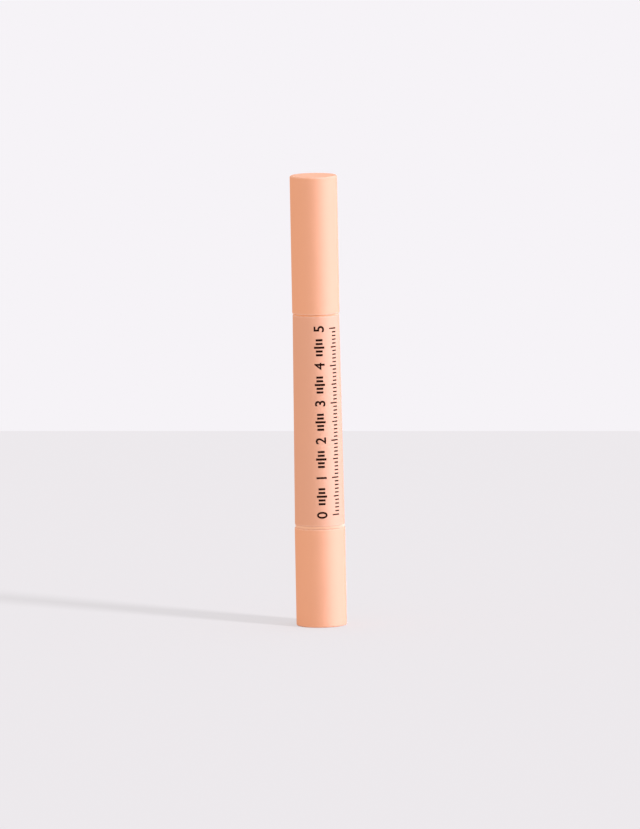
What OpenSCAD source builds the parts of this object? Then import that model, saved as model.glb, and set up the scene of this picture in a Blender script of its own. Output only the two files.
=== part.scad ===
// A twist-up nail oil pen. A cap, a barrel and a knob with a soft matt skin stand in one line,
// and a screw inside pushes a piston that feeds oil through a nozzle to a small round brush.
// Sizes are in millimetres. The pen stands along +Z on the flat end of its knob, and the
// origin is the centre of that face. It is drawn full, closed and ready for use.

/* [Knob] */
// Outer diameter of the knob
knob_diameter = 14; // [13.2:0.1:16]
// Length of the knob
knob_length = 27.5; // [25:0.5:32]
// Wall of the knob's shell
knob_wall = 0.9; // [0.7:0.05:1.1]
// Thickness of the closed end that the pen stands on
knob_floor = 1.2; // [0.8:0.1:2]
// Radius of the edge round the face that the pen stands on
knob_foot_round = 0.45; // [0.2:0.05:0.6]
// Radius of the knob's top edge
knob_top_round = 0.2; // [0.1:0.05:0.4]

/* [Joint ring] */
// Height of the pale ring that shows between the knob and the barrel
joint_ring_height = 0.75; // [0.5:0.05:1.5]
// How far the pale ring lies inside the smaller of the knob and the barrel
joint_ring_recess = 0.1; // [0.05:0.05:0.4]

/* [Barrel] */
// Length of the barrel
barrel_length = 58.7; // [56:0.1:70]
// Outer diameter of the barrel beside the knob
barrel_bottom_diameter = 13.85; // [13.4:0.05:15]
// Outer diameter of the barrel beside the cap
barrel_top_diameter = 12.95; // [12.8:0.05:14]
// Wall of the barrel's shell at its slimmer end
barrel_wall = 0.575; // [0.5:0.025:0.65]
// Radius of the barrel's edges
barrel_edge_round = 0.2; // [0.1:0.05:0.3]

/* [Cap] */
// Length of the cap
cap_length = 38.45; // [35:0.05:45]
// Outer diameter of the cap
cap_diameter = 13.15; // [13:0.05:14]
// Wall of the cap's shell
cap_wall = 0.9; // [0.7:0.05:1.1]
// Thickness of the cap's closed end
cap_end_wall = 1.2; // [0.8:0.1:2]
// Radius of the edge round the cap's closed end
cap_top_round = 0.5; // [0.3:0.05:0.8]
// Radius of the cap's lower edge
cap_mouth_round = 0.15; // [0.05:0.05:0.3]
// Height of the groove that shows between the cap and the barrel
seam_height = 0.3; // [0.2:0.05:0.6]
// How far the floor of that groove lies inside the barrel's end
seam_recess = 0.15; // [0.1:0.05:0.5]

/* [Reservoir] */
// Wall of the tube that holds the oil
reservoir_wall = 0.7; // [0.5:0.05:0.9]
// Length of the piston
piston_length = 6.4; // [6:0.1:8]
// How far the nozzle reaches down into the barrel
plug_depth = 5.8; // [5:0.1:8]

/* [Screw] */
// Diameter over the screw's thread, as a share of the barrel's bore
screw_share = 0.424; // [0.41:0.002:0.44]
// Depth of the screw's thread
thread_depth = 0.5; // [0.4:0.05:0.6]
// How far the screw moves up in one turn of the knob
thread_lead = 2; // [1.8:0.1:2.4]
// How far the two flats along the screw lie inside the floor of its thread
screw_flat_depth = 0.2; // [0.1:0.05:0.4]
// Height of the fixed nut
nut_height = 5.1; // [4.9:0.1:7]

/* [Brush] */
// Diameter of the nozzle's neck, which the cap slides over
neck_diameter = 8.6; // [8.2:0.1:9]
// Height of the nozzle's neck
neck_height = 7; // [6:0.1:8]
// How far the ferrule stands out of the nozzle
ferrule_reach = 6.4; // [5.6:0.1:8]
// How far the bristles stand out of the ferrule
bristle_reach = 11.6; // [9:0.1:13]
// Thickness of one bristle
bristle_width = 0.07; // [0.05:0.01:0.08]
// Bristles in one ring of the tuft
bristles_round = 40; // [38:1:44]
// Rings of bristles in the tuft
bristle_rings = 8; // [8:2:10]

/* [Hidden] */

$fn = 96;
// How far a cutting shape runs past the surface that it cuts
overrun = 1;
// Clearance of a pressed piece in its seat, on the radius
press_gap = 0.02;
// Clearance of a piece that turns or slides in another, on the radius
running_gap = 0.06;
// Clearance of a soft ring against the walls that it seals
seal_gap = 0.015;
// Clearance between two faces that turn or part
face_gap = 0.05;
// Clearance round the screw's thread in the nut
thread_gap = 0.15;
// Steps in a rounded edge
edge_steps = 6;

// Colours: the apricot skin, the pale ring, the nozzle in the skin's colour, and the plain
// mouldings inside
skin_colour = [0.96, 0.72, 0.57];
ring_colour = [0.97, 0.80, 0.68];
flange_colour = [0.94, 0.70, 0.57];
natural_colour = [0.93, 0.93, 0.90];
acetal_colour = [0.97, 0.97, 0.96];
rubber_colour = [0.16, 0.15, 0.15];
bristle_colour = [0.90, 0.86, 0.80];

// Heights, from the table up
knob_radius = knob_diameter / 2;
joint_bottom = knob_length + face_gap;
barrel_bottom = joint_bottom + joint_ring_height;
barrel_top = barrel_bottom + barrel_length;
neck_bottom = barrel_top + seam_height;
cap_bottom = neck_bottom + face_gap;
cap_top = cap_bottom + cap_length;

// The barrel's bore, and the outer radius of what is pressed into it
barrel_bore = min(barrel_bottom_diameter, barrel_top_diameter) - 2 * barrel_wall;
spigot_radius = barrel_bore / 2 - press_gap;

// The tail bush: the pale ring and the bearing behind it
bush_depth = 5.6;
bush_top = barrel_bottom + bush_depth;
joint_ring_radius = min(knob_diameter, barrel_bottom_diameter) / 2 - joint_ring_recess;

// Two ribs inside the barrel stop the pieces there from turning
rib_width = 1.2;
rib_share = 0.068;
rib_height = rib_share * barrel_bore / 2;
rib_root = 0.2;
rib_inner_radius = barrel_bore / 2 - rib_height;
notch_width = rib_width + 2 * running_gap;
notch_radius = rib_inner_radius - running_gap;

// The screw
crest_radius = screw_share * barrel_bore / 2;
root_radius = crest_radius - thread_depth;
screw_flats = 2 * (root_radius - screw_flat_depth);
foot_clearance = 1;
screw_foot = knob_floor + foot_clearance;
screw_plain_end = 0.6;
side_steps = 6;
// Where the thread's corners lie in one lead, as shares of it, on the side of the first crest
corner_shares = [0.125, 0.375, 0.625, 0.875];
flank_share = 0.25;
// The middle of the groove on that side, and a quarter turn before it
groove_share = 0.75;
ridge_start_share = groove_share - 0.25;

// The ratchet, and the nut above it
ratchet_height = 4.3;
ratchet_wall_share = 0.051;
ratchet_wall = ratchet_wall_share * barrel_bore / 2;
tooth_count = 16;
tooth_share = 0.068;
tooth_depth = tooth_share * barrel_bore / 2;
tooth_root_radius = notch_radius - ratchet_wall;
tooth_tip_radius = tooth_root_radius - tooth_depth;
nut_bottom = bush_top + ratchet_height;
nut_top = nut_bottom + nut_height;

// The drive sleeve, which turns with the knob and keys onto the screw. The steps along it and
// the clicker round it lie in the room between its bore and the tips of the ratchet's teeth,
// and each radius is a share of that room
sleeve_bore_radius = crest_radius + running_gap;
drive_room = tooth_tip_radius - sleeve_bore_radius;
flats_share = 0.225;
seat_share = 0.385;
sleeve_share = 0.525;
hub_share = 0.625;
journal_share = 0.66;
seat_flats = 2 * (sleeve_bore_radius + flats_share * drive_room);
seat_radius = sleeve_bore_radius + seat_share * drive_room;
sleeve_radius = sleeve_bore_radius + sleeve_share * drive_room;
journal_radius = sleeve_bore_radius + journal_share * drive_room;
sleeve_relief = 0.2;
key_length = 9;
sleeve_foot = knob_floor + face_gap;
sleeve_top = nut_bottom - face_gap;
bush_bore_radius = journal_radius + running_gap;
shoulder_radius = tooth_tip_radius - 2 * running_gap;
shoulder_bottom = bush_top + face_gap;
shoulder_height = 1;
shoulder_top = shoulder_bottom + shoulder_height;

// The clicker
pawl_clearance = 0.3;
pawl_height = nut_bottom - pawl_clearance - shoulder_top;
hub_radius = sleeve_bore_radius + hub_share * drive_room;
arm_share = 0.205;
arm_thickness = arm_share * drive_room;
arm_angle = 125;
arm_steps = 10;
nose_angle = 12;
// How far the nose stands past the steep face of a tooth
tooth_clear_angle = 2 * asin(running_gap / tooth_root_radius);

// The ridge in the nut, which fills the screw's groove but for the thread's clearance
ridge_embed = 0.2;
ridge_step = 15;
ridge_turns = floor(2 * (nut_height / thread_lead - 1)) / 2;
ridge_inner_radius = root_radius + thread_gap;
ridge_outer_radius = crest_radius + thread_gap + ridge_embed;
flank_slope = flank_share * thread_lead / thread_depth;
ridge_inner_half = corner_shares[0] * thread_lead + thread_gap * (flank_slope - 1);
ridge_outer_half = ridge_inner_half + flank_share * thread_lead;

// The reservoir, its piston and the stroke
reservoir_radius = spigot_radius - reservoir_wall;
parking_gap = 0.3;
piston_bottom = nut_top + parking_gap;
piston_top = piston_bottom + piston_length;
piston_radius = reservoir_radius - running_gap;
plug_bottom = barrel_top - plug_depth;
piston_edge = 0.4;
seal_height = 2.6;
seal_depth = 0.7;
seal_lip = 0.5;
seal_waist_depth = 0.25;
seal_floor = 0.8;
seal_top = piston_top - seal_floor;
seal_bottom = seal_top - seal_height;

// The screw's head, held in the piston so that it pushes it and turns inside it
neck_inset = 0.3;
neck_radius = screw_flats / 2 - neck_inset;
head_step = 0.6;
head_radius = neck_radius + head_step;
head_height = 1.6;
piston_lip = 2.3;
screw_shoulder = nut_top;
head_bottom = piston_bottom + piston_lip + running_gap;
head_top = head_bottom + head_height;
join_depth = 0.5;

// The soft rings and the grooves that hold them
ring_groove_depth = 0.55;
ring_groove_share = 1.3;
nozzle_ring_height = barrel_top - plug_depth / 2;
cap_ring_height = neck_bottom + neck_height / 2;
drive_ring_height = barrel_bottom + bush_depth / 2;

// The nozzle and what it carries
flange_radius = min(barrel_top_diameter, cap_diameter) / 2 - seam_recess;
nozzle_plug_radius = reservoir_radius - press_gap;
nozzle_neck_radius = neck_diameter / 2;
nozzle_cone_height = 3;
nozzle_tip_radius = 3.2;
nozzle_cone_bottom = neck_bottom + neck_height;
nozzle_tip = nozzle_cone_bottom + nozzle_cone_height;
funnel_radius = 3.5;
funnel_height = 2.3;
feed_radius = 0.75;
feed_bore_radius = 0.45;
feed_seat_radius = feed_radius + press_gap;
feed_bottom = plug_bottom + funnel_height;
feed_reach = 2.8;
ferrule_stem = 6.2;
ferrule_stem_radius = 2.48;
ferrule_flange_radius = 2.95;
ferrule_flange_height = 0.6;
ferrule_base_radius = 2.7;
ferrule_mouth_radius = 2.3;
ferrule_top = nozzle_tip + ferrule_reach;
ferrule_bottom = nozzle_tip - ferrule_stem;
ferrule_socket_radius = 2;
ferrule_socket_depth = 3.7;

// The tuft: a ring-shaped root, and bristles that swell a little and then close to a tip
root_height = 1;
root_bottom = ferrule_top - ferrule_socket_depth;
root_top = root_bottom + root_height;
tuft_outer_radius = ferrule_socket_radius - press_gap;
tuft_inner_radius = feed_seat_radius;
tuft_belly_reach = 4.5;
belly_share = 1.05;
tip_share = 0.3;
tuft_round_off = 3.2;
tuft_tip = ferrule_top + bristle_reach;
bristle_row = (tuft_outer_radius - tuft_inner_radius) / bristle_rings;
cell_angle = 360 / bristles_round;

// The cap's liner
cap_bore_radius = cap_diameter / 2 - cap_wall;
liner_radius = cap_bore_radius - press_gap;
liner_wall = 1.1;
liner_collar = 12;
liner_lift = 0.2;
liner_bottom = cap_bottom + liner_lift;
liner_bore_radius = nozzle_neck_radius + running_gap;
liner_tip_gap = 0.1;
liner_top_radius = nozzle_tip_radius + 2 * liner_tip_gap;
liner_end = 1;
liner_top = cap_top - cap_end_wall - face_gap;
liner_ceiling = liner_top - liner_end;
liner_tube_radius = liner_top_radius + liner_wall;
liner_rib_width = 0.9;
liner_ribs = 6;
chamfer_share = 0.3;
liner_chamfer = chamfer_share * (liner_radius - liner_bore_radius);

// The knob's core, which grips the drive sleeve inside the shell
knob_bore_radius = knob_radius - knob_wall;
core_radius = knob_bore_radius - press_gap;
core_bore_radius = sleeve_radius + press_gap;
core_wall = 1;
core_tube_radius = core_bore_radius + core_wall;
core_collar = 2;
core_rib_width = 1;
core_ribs = 6;

// How far the piston travels, and the turns of the knob that it takes
piston_stroke = plug_bottom - piston_top - face_gap;
echo(str("piston travel ", piston_stroke, " mm in ", piston_stroke / thread_lead, " turns"));
echo(str("whole length ", cap_top, " mm"));

// A solid turned round the pen's axis from an outline of [radius, height] points
module turned(outline) {
    rotate_extrude() polygon(outline);
}

// Points of a rounded corner about [x, z], from one angle to another
function corner(x, z, r, from, to) =
    [for (i = [0 : edge_steps])
        let (a = from + (to - from) * i / edge_steps)
        [x + r * cos(a), z + r * sin(a)]];

// Two faces for a four-cornered patch
function patch(a, b, c, d) = [[a, b, c], [a, c, d]];

// A soft ring of round section between two walls
module soft_ring(inner_wall, outer_wall, height) {
    section = (outer_wall - inner_wall) / 2 - seal_gap;
    translate([0, 0, height])
        rotate_extrude()
            translate([(outer_wall + inner_wall) / 2, 0])
                circle(r = section, $fn = 32);
}

// A groove that holds a soft ring in a shaft whose groove floor and mating wall are given
module ring_groove(floor_radius, wall_radius, height) {
    width = ring_groove_share * (wall_radius - floor_radius);
    translate([0, 0, height - width / 2])
        difference() {
            cylinder(r = wall_radius + overrun, h = width);
            translate([0, 0, -overrun])
                cylinder(r = floor_radius, h = width + 2 * overrun);
        }
}

// The two notches that fit the barrel's ribs
module rib_notches(bottom, top) {
    for (side = [0, 180])
        rotate([0, 0, side])
            translate([notch_radius, -notch_width / 2, bottom - overrun])
                cube([rib_height + overrun, notch_width, top - bottom + 2 * overrun]);
}

// Ribs that stand out from a tube to a given radius
module ribs(count, width, inner, outer, bottom, top) {
    translate([0, 0, bottom])
        linear_extrude(top - bottom)
            for (i = [0 : count - 1])
                intersection() {
                    rotate([0, 0, i * 360 / count])
                        translate([inner, -width / 2])
                            square([outer - inner + overrun, width]);
                    circle(r = outer);
                }
}

// The knob's outer shell, a closed cup with a soft edge that the pen stands on
module knob_shell() {
    color(skin_colour)
        turned(concat(
            [[0, 0]],
            corner(knob_radius - knob_foot_round, knob_foot_round, knob_foot_round, -90, 0),
            corner(knob_radius - knob_top_round, knob_length - knob_top_round,
                knob_top_round, 0, 90),
            [[knob_bore_radius, knob_length], [knob_bore_radius, knob_floor], [0, knob_floor]]
        ));
}

// The knob's core: a tube for the sleeve, a collar under the pale ring, and ribs
module knob_core() {
    color(natural_colour)
        difference() {
            union() {
                translate([0, 0, knob_floor])
                    cylinder(r = core_tube_radius, h = knob_length - knob_floor);
                translate([0, 0, knob_length - core_collar])
                    cylinder(r = core_radius, h = core_collar);
                ribs(core_ribs, core_rib_width, core_tube_radius - core_wall / 2, core_radius,
                    knob_floor, knob_length - core_collar);
            }
            translate([0, 0, knob_floor - overrun])
                cylinder(r = core_bore_radius, h = knob_length - knob_floor + 2 * overrun);
        }
}

// The tube that the knob turns. Its bore has two flats at the top, which drive the screw
module drive_sleeve() {
    color(acetal_colour)
        difference() {
            union() {
                turned([
                    [0, sleeve_foot],
                    [sleeve_radius, sleeve_foot],
                    [sleeve_radius, knob_length],
                    [journal_radius, knob_length],
                    [journal_radius, shoulder_bottom],
                    [shoulder_radius, shoulder_bottom],
                    [shoulder_radius, shoulder_top],
                    [0, shoulder_top]
                ]);
                translate([0, 0, shoulder_bottom])
                    linear_extrude(sleeve_top - shoulder_bottom)
                        seat_outline(0);
            }
            translate([0, 0, sleeve_top - key_length])
                linear_extrude(key_length + overrun)
                    intersection() {
                        circle(r = sleeve_bore_radius);
                        square([screw_flats + 2 * running_gap, 2 * (crest_radius + overrun)],
                            center = true);
                    }
            translate([0, 0, sleeve_foot - overrun])
                cylinder(r = crest_radius + sleeve_relief,
                    h = sleeve_top - key_length - sleeve_foot + overrun);
            ring_groove(journal_radius - ring_groove_depth, journal_radius, drive_ring_height);
        }
}

// The sleeve's seat for the pawl ring: a circle with two flats
module seat_outline(gap) {
    intersection() {
        circle(r = seat_radius + gap);
        square([2 * (seat_radius + overrun), seat_flats + 2 * gap], center = true);
    }
}

// The soft ring that seals the sleeve and gives the knob its smooth drag
module drive_o_ring() {
    color(rubber_colour)
        soft_ring(journal_radius - ring_groove_depth, bush_bore_radius, drive_ring_height);
}

// The pale ring between knob and barrel, with the sleeve's bearing pressed into the barrel
module tail_bush() {
    color(ring_colour)
        difference() {
            turned([
                [bush_bore_radius, joint_bottom],
                [joint_ring_radius, joint_bottom],
                [joint_ring_radius, barrel_bottom],
                [spigot_radius, barrel_bottom],
                [spigot_radius, bush_top],
                [bush_bore_radius, bush_top]
            ]);
            rib_notches(barrel_bottom + overrun, bush_top);
        }
}

// The fixed ring of saw teeth. Its teeth let the knob turn one way only
module ratchet_ring() {
    color(natural_colour)
        difference() {
            translate([0, 0, bush_top])
                cylinder(r = spigot_radius, h = ratchet_height);
            translate([0, 0, bush_top - overrun])
                cylinder(r = shoulder_radius + running_gap, h = ratchet_height + 2 * overrun);
            translate([0, 0, shoulder_top])
                linear_extrude(nut_bottom - shoulder_top + overrun)
                    polygon([
                        for (i = [0 : tooth_count - 1])
                            for (end = [0, 1])
                                let (
                                    a = (i + end) * 360 / tooth_count,
                                    r = end == 0 ? tooth_root_radius : tooth_tip_radius
                                )
                                [r * cos(a), r * sin(a)]
                    ]);
            rib_notches(bush_top, nut_bottom);
        }
}

// The clicker: a hub on the sleeve with two springy arms whose noses rest between teeth
module pawl_ring() {
    color(acetal_colour)
        translate([0, 0, shoulder_top])
            linear_extrude(pawl_height)
                difference() {
                    union() {
                        circle(r = hub_radius);
                        for (side = [0, 180])
                            rotate(side)
                                polygon(arm_outline());
                    }
                    seat_outline(press_gap);
                }
}

// An arm's outer radius, from its nose in the teeth back to the hub
function arm_radius(i) =
    tooth_tip_radius - running_gap
        - (tooth_tip_radius - running_gap - hub_radius) * pow(i / arm_steps, 2);

// The outline of one arm: the nose just past a tooth's steep face, then a long curved beam
function arm_outline() = concat(
    [[(tooth_root_radius - running_gap) * cos(tooth_clear_angle),
        (tooth_root_radius - running_gap) * sin(tooth_clear_angle)]],
    [for (i = [0 : arm_steps])
        let (a = nose_angle + (arm_angle - nose_angle) * i / arm_steps)
        [arm_radius(i) * cos(a), arm_radius(i) * sin(a)]],
    [for (i = [arm_steps : -1 : 0])
        let (a = tooth_clear_angle + (arm_angle - tooth_clear_angle) * i / arm_steps)
        [(arm_radius(i) - arm_thickness) * cos(a), (arm_radius(i) - arm_thickness) * sin(a)]]
);

// The nut, fixed in the barrel, with a ridge that runs in the screw's groove
module drive_nut() {
    color(acetal_colour) {
        difference() {
            translate([0, 0, nut_bottom])
                cylinder(r = spigot_radius, h = nut_height);
            translate([0, 0, nut_bottom - overrun])
                cylinder(r = crest_radius + thread_gap, h = nut_height + 2 * overrun);
            rib_notches(nut_bottom, nut_top);
        }
        nut_ridge();
    }
}

// One station of the ridge: the four corners of its section at an angle along the helix
function ridge_station(a) =
    let (z = nut_bottom + thread_lead * (ridge_start_share + a / 360))
    [for (p = [
            [ridge_inner_radius, -ridge_inner_half],
            [ridge_outer_radius, -ridge_outer_half],
            [ridge_outer_radius, ridge_outer_half],
            [ridge_inner_radius, ridge_inner_half]
        ])
        [p[0] * cos(a), p[0] * sin(a), z + p[1]]];

module nut_ridge() {
    stations = round(ridge_turns * 360 / ridge_step);
    points = [for (i = [0 : stations]) each ridge_station(i * ridge_step)];
    sides = [for (i = [0 : stations - 1], k = [0 : 3])
        each patch(4 * i + k, 4 * i + (k + 1) % 4,
            4 * (i + 1) + (k + 1) % 4, 4 * (i + 1) + k)];
    start = patch(3, 2, 1, 0);
    last = 4 * stations;
    finish = patch(last, last + 1, last + 2, last + 3);
    polyhedron(points, concat(start, sides, finish));
}

// Half the angle that one threaded side spans at a radius, between the two flats
function side_angle(r) = asin(screw_flats / 2 / r);

// Points along one threaded side of the screw, rising with the helix by the tilt
function side_points(r, z, middle, tilt) =
    [for (s = [0 : side_steps])
        let (turn = (2 * s / side_steps - 1) * side_angle(r))
        [r * cos(middle + turn), r * sin(middle + turn), z + tilt * thread_lead * turn / 360]];

// A ring of the screw's surface: both threaded sides, with a flat between them each way
function screw_ring(z, r_front, r_back, tilt) =
    concat(side_points(r_front, z, 90, tilt), side_points(r_back, z, 270, tilt));

// The screw: a thread on two sides only, two long flats, and a head that turns in the piston
module lead_screw() {
    first = ceil((screw_foot + screw_plain_end - nut_bottom) / thread_lead
        + flank_share - corner_shares[0]);
    last = floor((screw_shoulder - screw_plain_end - nut_bottom) / thread_lead
        - flank_share - corner_shares[3]);
    rings = concat(
        [screw_ring(screw_foot, root_radius, root_radius, 0)],
        [screw_ring(nut_bottom + thread_lead * (first + corner_shares[0] - flank_share),
            root_radius, root_radius, 1)],
        [for (turn = [first : last], c = [0 : 3])
            screw_ring(nut_bottom + thread_lead * (turn + corner_shares[c]),
                c < 2 ? crest_radius : root_radius, c < 2 ? root_radius : crest_radius, 1)],
        [screw_ring(nut_bottom + thread_lead * (last + corner_shares[3] + flank_share),
            root_radius, root_radius, 1)],
        [screw_ring(screw_shoulder, root_radius, root_radius, 0)]
    );
    size = 2 * (side_steps + 1);
    top = size * (len(rings) - 1);
    sides = [for (i = [0 : len(rings) - 2], k = [0 : size - 1])
        each patch(size * i + k, size * (i + 1) + k,
            size * (i + 1) + (k + 1) % size, size * i + (k + 1) % size)];
    color(acetal_colour) {
        polyhedron([for (ring = rings) each ring], concat(
            [[for (k = [0 : size - 1]) k]],
            sides,
            [[for (k = [size - 1 : -1 : 0]) top + k]]
        ));
        turned([
            [0, screw_shoulder - join_depth],
            [neck_radius, screw_shoulder - join_depth],
            [neck_radius, head_bottom],
            [head_radius, head_bottom],
            [head_radius, head_top],
            [0, head_top]
        ]);
    }
}

// The barrel's outer shell: a slight taper outside, a straight bore and two ribs inside
module barrel_shell() {
    bottom_radius = barrel_bottom_diameter / 2;
    top_radius = barrel_top_diameter / 2;
    color(skin_colour) {
        turned(concat(
            [[barrel_bore / 2, barrel_bottom]],
            corner(bottom_radius - barrel_edge_round, barrel_bottom + barrel_edge_round,
                barrel_edge_round, -90, 0),
            corner(top_radius - barrel_edge_round, barrel_top - barrel_edge_round,
                barrel_edge_round, 0, 90),
            [[barrel_bore / 2, barrel_top]]
        ));
        for (side = [0, 180])
            rotate([0, 0, side])
                translate([rib_inner_radius, -rib_width / 2, barrel_bottom])
                    cube([rib_height + rib_root, rib_width, nut_top - barrel_bottom]);
    }
}

// The tube that holds the oil, a plain liner between the nut and the nozzle
module reservoir_tube() {
    color(natural_colour)
        turned([
            [reservoir_radius, nut_top],
            [spigot_radius, nut_top],
            [spigot_radius, barrel_top],
            [reservoir_radius, barrel_top]
        ]);
}

// The piston: a groove for its seal, and a socket that holds the screw's head
module piston() {
    color(acetal_colour)
        turned([
            [neck_radius + running_gap, piston_bottom],
            [piston_radius - piston_edge, piston_bottom],
            [piston_radius, piston_bottom + piston_edge],
            [piston_radius, seal_bottom],
            [piston_radius - seal_depth, seal_bottom],
            [piston_radius - seal_depth, seal_top],
            [piston_radius, seal_top],
            [piston_radius, piston_top - piston_edge],
            [piston_radius - piston_edge, piston_top],
            [0, piston_top],
            [0, head_top + running_gap],
            [head_radius + running_gap, head_top + running_gap],
            [head_radius + running_gap, piston_bottom + piston_lip],
            [neck_radius + running_gap, piston_bottom + piston_lip]
        ]);
}

// The piston's seal: a soft band with a lip at each end that wipes the tube's wall
module piston_seal() {
    inner = piston_radius - seal_depth + seal_gap;
    lip = reservoir_radius - seal_gap;
    waist = lip - seal_waist_depth;
    color(rubber_colour)
        turned([
            [inner, seal_bottom + seal_gap],
            [lip, seal_bottom + seal_gap],
            [lip, seal_bottom + seal_lip],
            [waist, seal_bottom + 2 * seal_lip],
            [waist, seal_top - 2 * seal_lip],
            [lip, seal_top - seal_lip],
            [lip, seal_top - seal_gap],
            [inner, seal_top - seal_gap]
        ]);
}

// The nozzle: a plug in the reservoir, a thin flange that shows at the seam, a neck and a cone
module nozzle() {
    socket_bottom = ferrule_bottom - face_gap;
    socket_radius = ferrule_stem_radius + press_gap;
    color(flange_colour)
        difference() {
            turned([
                [feed_seat_radius, feed_bottom],
                [funnel_radius, plug_bottom],
                [nozzle_plug_radius, plug_bottom],
                [nozzle_plug_radius, barrel_top],
                [flange_radius, barrel_top],
                [flange_radius, neck_bottom],
                [nozzle_neck_radius, neck_bottom],
                [nozzle_neck_radius, nozzle_cone_bottom],
                [nozzle_tip_radius, nozzle_tip],
                [socket_radius, nozzle_tip],
                [socket_radius, socket_bottom],
                [feed_seat_radius, socket_bottom]
            ]);
            ring_groove(nozzle_plug_radius - ring_groove_depth, nozzle_plug_radius,
                nozzle_ring_height);
            ring_groove(nozzle_neck_radius - ring_groove_depth, nozzle_neck_radius,
                cap_ring_height);
        }
}

// The soft ring that seals the nozzle in the reservoir
module nozzle_o_ring() {
    color(rubber_colour)
        soft_ring(nozzle_plug_radius - ring_groove_depth, reservoir_radius,
            nozzle_ring_height);
}

// The soft ring on the nozzle's neck that grips the cap
module cap_o_ring() {
    color(rubber_colour)
        soft_ring(nozzle_neck_radius - ring_groove_depth, liner_bore_radius, cap_ring_height);
}

// The thin tube that carries oil from the nozzle into the middle of the bristles
module feed_tube() {
    color(natural_colour)
        turned([
            [feed_bore_radius, feed_bottom],
            [feed_radius, feed_bottom],
            [feed_radius, ferrule_top + feed_reach],
            [feed_bore_radius, ferrule_top + feed_reach]
        ]);
}

// The ferrule that holds the tuft: a stem in the nozzle, a small flange and a tapered mouth
module brush_ferrule() {
    color(natural_colour)
        turned([
            [feed_seat_radius, ferrule_bottom],
            [ferrule_stem_radius, ferrule_bottom],
            [ferrule_stem_radius, nozzle_tip],
            [ferrule_flange_radius, nozzle_tip],
            [ferrule_flange_radius, nozzle_tip + ferrule_flange_height],
            [ferrule_base_radius, nozzle_tip + ferrule_flange_height],
            [ferrule_mouth_radius, ferrule_top],
            [ferrule_socket_radius, ferrule_top],
            [ferrule_socket_radius, root_bottom],
            [feed_seat_radius, root_bottom]
        ]);
}

// The tuft. Its root is a thick ring whose top is a net of cells, each ring of cells turned
// half a cell on from the last, and one four-sided bristle grows out of each cell
function tuft_net(i, j) =
    let (r = tuft_inner_radius + bristle_row * j, a = (i + j / 2) * cell_angle)
    [r * cos(a), r * sin(a)];

// One bristle: four corners at its root, four at the belly, and its tip
function bristle_points(i, j) =
    let (
        r = tuft_inner_radius + bristle_row * (j + 0.5),
        a = (i + j / 2 + 0.75) * cell_angle,
        half = bristle_width / 2,
        out = [cos(a), sin(a)],
        along = [-sin(a), cos(a)],
        corners = [-half * out - half * along, -half * out + half * along,
            half * out + half * along, half * out - half * along],
        tip = r * tip_share * out
    )
    concat(
        [for (c = corners) [each (r * out + c), root_top]],
        [for (c = corners) [each (r * belly_share * out + c), ferrule_top + tuft_belly_reach]],
        [[each tip, tuft_tip - tuft_round_off * pow(r / tuft_outer_radius, 2)]]
    );

module brush_bristles() {
    n = bristles_round;
    rows = bristle_rings;
    under = n * (rows + 1);
    strands = under + 2 * n;
    points = concat(
        [for (j = [0 : rows], i = [0 : n - 1]) [each tuft_net(i, j), root_top]],
        [for (j = [0, rows], i = [0 : n - 1]) [each tuft_net(i, j), root_bottom]],
        [for (j = [0 : rows - 1], i = [0 : n - 1]) each bristle_points(i, j)]
    );
    cells = [for (j = [0 : rows - 1], i = [0 : n - 1])
        let (
            net = [n * j + i, n * j + (i + 1) % n,
                n * (j + 1) + (i + 1) % n, n * (j + 1) + i],
            first = strands + 9 * (n * j + i)
        )
        each [for (k = [0 : 3])
            let (next = (k + 1) % 4)
            each concat(
                patch(net[k], net[next], first + next, first + k),
                patch(first + k, first + next, first + 4 + next, first + 4 + k),
                [[first + 4 + k, first + 4 + next, first + 8]]
            )]];
    walls = [for (i = [0 : n - 1])
        let (next = (i + 1) % n, top = n * rows, shift = rows / 2)
        each concat(
            patch(top + i, top + next, under + n + next, under + n + i),
            patch(next, i, under + i, under + next),
            patch(under + n + i, under + n + next,
                under + (next + shift) % n, under + (i + shift) % n)
        )];
    color(bristle_colour)
        polyhedron(points, concat(cells, walls));
}

// The cap's liner: a collar on the nozzle's neck, and a closed tube over the brush
module cap_liner() {
    cone_top = nozzle_tip + liner_tip_gap;
    color(natural_colour)
        difference() {
            union() {
                turned([
                    [0, liner_bottom],
                    [liner_radius - liner_chamfer, liner_bottom],
                    [liner_radius, liner_bottom + liner_chamfer],
                    [liner_radius, liner_bottom + liner_collar],
                    [liner_tube_radius, liner_bottom + liner_collar],
                    [liner_tube_radius, liner_top],
                    [0, liner_top]
                ]);
                ribs(liner_ribs, liner_rib_width, liner_tube_radius - liner_wall / 2,
                    liner_radius, liner_bottom + liner_collar, liner_ceiling);
            }
            turned([
                [0, liner_bottom - overrun],
                [liner_bore_radius, liner_bottom - overrun],
                [liner_bore_radius, nozzle_cone_bottom + liner_tip_gap],
                [liner_top_radius, cone_top],
                [liner_top_radius, liner_ceiling],
                [0, liner_ceiling]
            ]);
        }
}

// The cap's outer shell, closed at the top with a soft edge
module cap_shell() {
    radius = cap_diameter / 2;
    color(skin_colour)
        turned(concat(
            [[cap_bore_radius, cap_bottom]],
            corner(radius - cap_mouth_round, cap_bottom + cap_mouth_round,
                cap_mouth_round, -90, 0),
            corner(radius - cap_top_round, cap_top - cap_top_round, cap_top_round, 0, 90),
            [[0, cap_top], [0, cap_top - cap_end_wall], [cap_bore_radius, cap_top - cap_end_wall]]
        ));
}

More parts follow.
